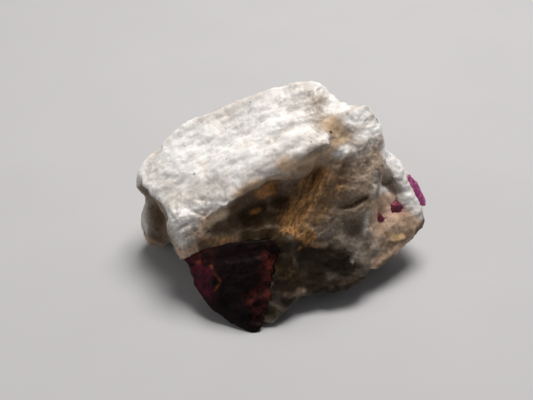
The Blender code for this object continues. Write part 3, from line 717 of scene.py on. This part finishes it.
class Nodes:
    """Short calls for building one material."""

    def __init__(self, name):
        self.material = bpy.data.materials.new(name)
        self.material.use_nodes = True
        self.tree = self.material.node_tree
        self.shader = self.tree.nodes["Principled BSDF"]
        coordinates = self.tree.nodes.new("ShaderNodeTexCoord")
        scale = self.tree.nodes.new("ShaderNodeVectorMath")
        scale.operation = "SCALE"
        scale.inputs["Scale"].default_value = 1 / MM
        self.link(coordinates.outputs["Object"], scale.inputs[0])
        self.place = scale.outputs[0]
        shift = self.tree.nodes.new("ShaderNodeVectorMath")
        shift.operation = "ADD"
        shift.inputs[1].default_value = PATTERN_SHIFT
        self.link(self.place, shift.inputs[0])
        self.shifted = shift.outputs[0]

    def link(self, output, socket):
        """Links an output to a socket."""
        self.tree.links.new(output, socket)

    def feed(self, value, socket):
        """Sets the socket to a number or a colour, or links an output to it."""
        if isinstance(value, bpy.types.NodeSocket):
            self.link(value, socket)
        elif isinstance(value, tuple) and len(value) == 3 and socket.type == "RGBA":
            socket.default_value = (*value, 1.0)
        else:
            socket.default_value = value

    def amount(self, name):
        """A number that the mesh holds for each vertex."""
        node = self.tree.nodes.new("ShaderNodeAttribute")
        node.attribute_name = name
        return node.outputs["Fac"]

    def stretch(self, direction, factor):
        """Coordinates in millimetres that run along a direction."""
        unit = Vector(direction).normalized()
        turn = unit.to_track_quat("X", "Z").to_euler()
        mapping = self.tree.nodes.new("ShaderNodeMapping")
        mapping.vector_type = "TEXTURE"
        mapping.inputs["Rotation"].default_value = turn
        mapping.inputs["Scale"].default_value = (factor, 1.0, 1.0)
        self.link(self.place, mapping.inputs["Vector"])
        return mapping.outputs["Vector"]

    def noise(self, size, detail=3.0, rough=0.5, place=None, distort=0.0):
        """Noise from 0 to 1 with features of about the given size in millimetres."""
        node = self.tree.nodes.new("ShaderNodeTexNoise")
        node.inputs["Scale"].default_value = 1 / size
        node.inputs["Detail"].default_value = detail
        node.inputs["Roughness"].default_value = rough
        node.inputs["Distortion"].default_value = distort
        self.link(place or self.place, node.inputs["Vector"])
        return node.outputs["Fac"]

    def warped(self, size, amount):
        """Coordinates shaken by noise, so that cells read there are not straight-sided."""
        node = self.tree.nodes.new("ShaderNodeTexNoise")
        node.inputs["Scale"].default_value = 1 / size
        self.link(self.place, node.inputs["Vector"])
        shaken = self.tree.nodes.new("ShaderNodeVectorMath")
        shaken.operation = "MULTIPLY_ADD"
        shaken.inputs[1].default_value = (amount, amount, amount)
        self.link(node.outputs["Color"], shaken.inputs[0])
        self.link(self.place, shaken.inputs[2])
        return shaken.outputs[0]

    def grains(self, size, output="Distance", place=None):
        """Cells of about the given size: how far their middle is, or a colour for each."""
        node = self.tree.nodes.new("ShaderNodeTexVoronoi")
        node.inputs["Scale"].default_value = 1 / size
        self.link(place or self.place, node.inputs["Vector"])
        return node.outputs[output]

    def math(self, operation, a, b=0.0, clamp=False):
        """One sum with two numbers or outputs."""
        node = self.tree.nodes.new("ShaderNodeMath")
        node.operation = operation
        node.use_clamp = clamp
        self.feed(a, node.inputs[0])
        self.feed(b, node.inputs[1])
        return node.outputs[0]

    def band(self, value, low, high, to_low=0.0, to_high=1.0):
        """The value from low to high, mapped smoothly to to_low to to_high."""
        node = self.tree.nodes.new("ShaderNodeMapRange")
        node.interpolation_type = "SMOOTHSTEP"
        self.feed(value, node.inputs["Value"])
        node.inputs["From Min"].default_value = low
        node.inputs["From Max"].default_value = high
        node.inputs["To Min"].default_value = to_low
        node.inputs["To Max"].default_value = to_high
        return node.outputs["Result"]

    def mix(self, share, a, b, blend="MIX"):
        """The colour a with the given share of b laid over it."""
        node = self.tree.nodes.new("ShaderNodeMix")
        node.data_type = "RGBA"
        node.blend_type = blend
        self.feed(share, node.inputs[0])
        self.feed(a, node.inputs[6])
        self.feed(b, node.inputs[7])
        return node.outputs[2]

    def bump(self, height, strength, distance, before=None):
        """A normal that shows the height as relief, over the normal before it."""
        node = self.tree.nodes.new("ShaderNodeBump")
        node.inputs["Strength"].default_value = strength
        node.inputs["Distance"].default_value = distance * MM
        self.link(height, node.inputs["Height"])
        if before is not None:
            self.link(before, node.inputs["Normal"])
        return node.outputs["Normal"]

    def finish(self, **sockets):
        """Feeds the shader's sockets, named with underscores, and gives the material."""
        for name, value in sockets.items():
            self.feed(value, self.shader.inputs[name.replace("_", " ")])
        return self.material


def stain_share(n, name, ragged, soft, pattern):
    """A stain's amount with its edge broken up by the pattern."""
    shift = n.math("MULTIPLY", n.math("SUBTRACT", pattern, 0.5), ragged)
    inside = n.band(n.math("ADD", n.amount(name), shift), 0.5 - soft, 0.5 + soft)
    return n.math("MULTIPLY", inside, n.band(n.amount(name), 0.02, 0.2))


def fresh_marble(n, along):
    """White marble with warm streaks along the grain and faint clouds."""
    white = n.mix(n.noise(2.6, detail=4.0, rough=0.6), *FRESH_MARBLE)
    warm = n.band(n.noise(1.3, detail=4.0, rough=0.6, place=along), 0.50, 0.74, to_high=0.7)
    white = n.mix(warm, white, WARM_STREAK)
    peach = n.band(n.noise(1.7, detail=3.0, rough=0.5), 0.54, 0.70, to_high=0.5)
    white = n.mix(peach, white, PEACH_CLOUD)
    cool = n.band(n.noise(2.2, detail=3.0, rough=0.5, place=n.shifted), 0.52, 0.68, to_high=0.45)
    return n.mix(cool, white, COOL_CLOUD)


def front_marble(n, patches, fine_patches):
    """The greyish brown of the front, real staining deepened by painted shade, lighter higher up and
    darker towards the floor as painted shade.
    """
    grey = n.mix(n.amount("high"), n.mix(patches, *FRONT_BELOW), n.mix(patches, *FRONT_ABOVE))
    return n.mix(n.band(fine_patches, 0.50, 0.75, to_high=0.6), grey, FRONT_FLECK)


def back_marble(n, patches, fine_patches):
    """The duller marble of the back, with faint tan clouds."""
    tan = n.band(n.noise(3.4, detail=4.0, rough=0.6, place=n.shifted), 0.50, 0.66, to_high=0.75)
    dull = n.mix(tan, n.mix(patches, *BACK_MARBLE), BACK_TAN)
    return n.mix(n.band(fine_patches, 0.52, 0.72, to_high=0.7), dull, BACK_FLECK)


def golden_stain(n, fibres):
    """Iron stain from brown to gold, with the brightest fibres picked out."""
    gold = n.mix(n.band(fibres, 0.32, 0.66), *GOLD)
    return n.mix(n.band(fibres, 0.60, 0.74, to_high=0.6), gold, BRIGHT_FIBRE)


def marble_material():
    """Marble with its stains, painted shade in the low parts, specks, and grain too fine to be shape."""
    n = Nodes("white_marble_iron_stained")
    along = n.stretch(GRAIN, 2.6)
    patches = n.noise(1.1, detail=5.0, rough=0.62)
    fine_patches = n.noise(0.5, detail=4.0, rough=0.6, place=along)
    fibres = n.noise(0.40, detail=4.0, rough=0.68, place=n.stretch(GROOVE, 4.5))
    coarse = n.math("SUBTRACT", 1.0, n.math("MULTIPLY", n.amount("smooth"), 0.75))

    colour = n.mix(n.amount("back"), fresh_marble(n, along), back_marble(n, patches, fine_patches))
    colour = n.mix(n.amount("front"), colour, front_marble(n, patches, fine_patches))
    for name, dark, light, ragged, soft, _ in STAINS:
        stain = n.mix(fine_patches, dark, light)
        colour = n.mix(stain_share(n, name, ragged, soft, patches), colour, stain)
    colour = n.mix(stain_share(n, "iron", 0.8, 0.38, fibres), colour, golden_stain(n, fibres))
    # painted shade darkens the hollows, pits and gaps between knobs
    hollow_shade = n.math("MULTIPLY", n.amount("hollow_shade"), n.band(patches, 0.35, 0.65, to_low=0.25, to_high=0.8))
    colour = n.mix(hollow_shade, colour, n.mix(n.amount("pale"), HOLLOW_SHADE_ON_GREY, HOLLOW_SHADE_ON_PALE))

    speckle = n.noise(0.30, detail=4.0, rough=0.7)
    light_specks = n.math("MULTIPLY", coarse, n.band(speckle, 0.53, 0.66, to_high=0.7))
    dark_specks = n.math("MULTIPLY", coarse, n.band(speckle, 0.47, 0.34, to_high=0.75))
    colour = n.mix(light_specks, colour, LIGHT_SPECK, "MULTIPLY")
    colour = n.mix(dark_specks, colour, DARK_SPECK, "MULTIPLY")
    in_patches = n.band(patches, 0.50, 0.56, to_high=0.8)
    pinpricks = n.math("MULTIPLY", n.band(n.grains(1.5), 0.10, 0.05), in_patches)
    colour = n.mix(pinpricks, colour, PINPRICK)

    mosaic = n.grains(0.6, output="Color", place=n.warped(0.5, amount=0.5))
    rough = n.band(n.noise(0.5, detail=3.0), 0.3, 0.7, to_low=0.42, to_high=0.62)
    rough = n.math("SUBTRACT", rough, n.band(mosaic, 0.80, 0.86, to_high=0.26), clamp=True)
    rough = n.math("SUBTRACT", rough, n.math("MULTIPLY", n.amount("gloss"), 0.30), clamp=True)
    grit = n.math("MULTIPLY", n.noise(0.30, detail=5.0, rough=0.65), coarse)
    cells = n.math("MULTIPLY", n.grains(0.42, place=n.warped(0.3, amount=0.3)), coarse)
    fine = n.bump(grit, strength=0.45, distance=0.12)
    fine = n.bump(cells, strength=0.35, distance=0.12, before=fine)
    # less shine where the painted shade of the deep and low entries lies
    painted_shade_amount = n.math("MAXIMUM", n.amount("deep"), n.amount("low"))
    shine = n.math("MULTIPLY", n.band(n.amount("pale"), 0.0, 0.8, to_low=0.22, to_high=0.5),
                   n.band(painted_shade_amount, 0.1, 0.8, to_low=1.0, to_high=0.25))
    n.shader.inputs["Subsurface Radius"].default_value = (1.0, 0.85, 0.70)
    n.shader.inputs["Subsurface Scale"].default_value = 0.35 * MM
    return n.finish(Base_Color=colour, Roughness=rough, Normal=fine, Subsurface_Weight=0.4, IOR=1.50,
                    Specular_IOR_Level=shine)


def ruby_material(name, deep, bright, painted_glow, translucent):
    """Mottled ruby with its facet painted lit, warm parts, painted edge highlights and dark spots."""
    n = Nodes(name)
    mottle = n.noise(0.9, detail=5.0, rough=0.65, distort=0.4)
    colour = n.mix(n.band(mottle, 0.42, 0.66), deep, bright)
    colour = n.mix(n.band(n.amount("flake"), 0.78, 0.95, to_high=0.5), colour, bright)
    warm = n.math("MULTIPLY", n.amount("warm"), n.band(mottle, 0.38, 0.62))
    colour = n.mix(warm, colour, RUBY_WARM)
    lit = n.mix(n.band(mottle, 0.35, 0.6), deep, painted_glow)
    # painted light: the facet made brighter as if lit through
    colour = n.mix(n.band(n.amount("painted_glow"), 0.15, 0.8), colour, lit)
    # painted highlight: an orange line along the facet's edges
    edge_highlight = n.math("MULTIPLY", n.amount("edge_highlight"), n.band(mottle, 0.40, 0.60, to_low=0.1, to_high=0.8))
    colour = n.mix(edge_highlight, colour, RUBY_EDGE_HIGHLIGHT)
    colour = n.mix(n.band(n.noise(0.5, detail=4.0), 0.60, 0.70, to_high=0.5), colour, RUBY_SPOT)
    rough = n.band(n.noise(0.6, detail=4.0), 0.35, 0.65, to_low=0.42, to_high=0.62)
    fine = n.bump(n.noise(0.16, detail=4.0, rough=0.6), strength=0.18, distance=0.05)
    n.shader.inputs["Specular IOR Level"].default_value = 0.05
    n.shader.inputs["Subsurface Radius"].default_value = (1.0, 0.16, 0.3)
    n.shader.inputs["Subsurface Scale"].default_value = 0.8 * MM
    return n.finish(Base_Color=colour, Roughness=rough, Normal=fine, IOR=1.77,
                    Subsurface_Weight=translucent)


def floor_material():
    """A plain pale floor."""
    n = Nodes("pale_floor")
    colour = n.mix(n.noise(14.0, detail=2.0), *FLOOR_COLOURS)
    return n.finish(Base_Color=colour, Roughness=0.75)


def dress(obj, material):
    """Gives the whole object one material."""
    obj.data.materials.clear()
    obj.data.materials.append(material)


# Stage

FLOOR_SIZE = 1.6                          # metres
SURROUND_COLOUR = (0.97, 0.97, 1.0, 1.0)
SURROUND_STRENGTH = 0.13

# Lights, in metres of the row: name, place, width, power and colour. Both are turned to one point.
LIGHTS = (
    ("window", (0.038, 0.100, 0.293), 0.15, 1.25, (1.0, 0.97, 0.935)),
    ("fill", (-0.22, -0.10, 0.16), 0.20, 0.09, (1.0, 0.96, 0.90)),
)
LIT_POINT = (0, 0, 0.008)

# Camera: its place in millimetres of the measuring frame, how many degrees down it looks, its lens and
# sensor in millimetres, and its clip distances in metres
CAMERA_AT = (-1.71, -66.76, 66.82)
CAMERA_DOWN = 36.0
CAMERA_LENS = 60.0
CAMERA_SENSOR = 36.0
CLIP_NEAR = 0.005
CLIP_FAR = 5.0


def area_light(name, place, width, power, colour):
    """A square light turned to the lit point."""
    light = bpy.data.lights.new(name, "AREA")
    light.shape = "SQUARE"
    light.size = width
    light.energy = power
    light.color = colour
    obj = new_object(name, light)
    obj.location = place
    obj.rotation_mode = "QUATERNION"
    obj.rotation_quaternion = (Vector(LIT_POINT) - Vector(place)).to_track_quat("-Z", "Y")


def stage():
    """Floor, surround, lights and camera."""
    bpy.ops.mesh.primitive_plane_add(size=FLOOR_SIZE)
    floor = bpy.context.object
    floor.name = "floor"
    floor.data.materials.append(floor_material())

    scene = bpy.context.scene
    world = bpy.data.worlds.new("soft_surround")
    scene.world = world
    world.use_nodes = True
    background = world.node_tree.nodes["Background"]
    background.inputs["Color"].default_value = SURROUND_COLOUR
    background.inputs["Strength"].default_value = SURROUND_STRENGTH
    for light in LIGHTS:
        area_light(*light)
    scene.view_settings.view_transform = "Standard"

    camera = new_object("camera", bpy.data.cameras.new("camera"))
    camera.data.lens = CAMERA_LENS
    camera.data.sensor_width = CAMERA_SENSOR
    camera.data.clip_start = CLIP_NEAR
    camera.data.clip_end = CLIP_FAR
    camera.location = row_place(CAMERA_AT)
    camera.rotation_euler = (math.radians(90 - CAMERA_DOWN), 0, 0)
    scene.camera = camera


dress(marble_skin(), marble_material())
ruby_materials = {name: ruby_material(name, *look) for name, *look in RUBY_LOOKS}
for name, node, cell, slot, material in RUBIES:
    dress(ruby_skin(name, node, cell), ruby_materials[material])
stage()
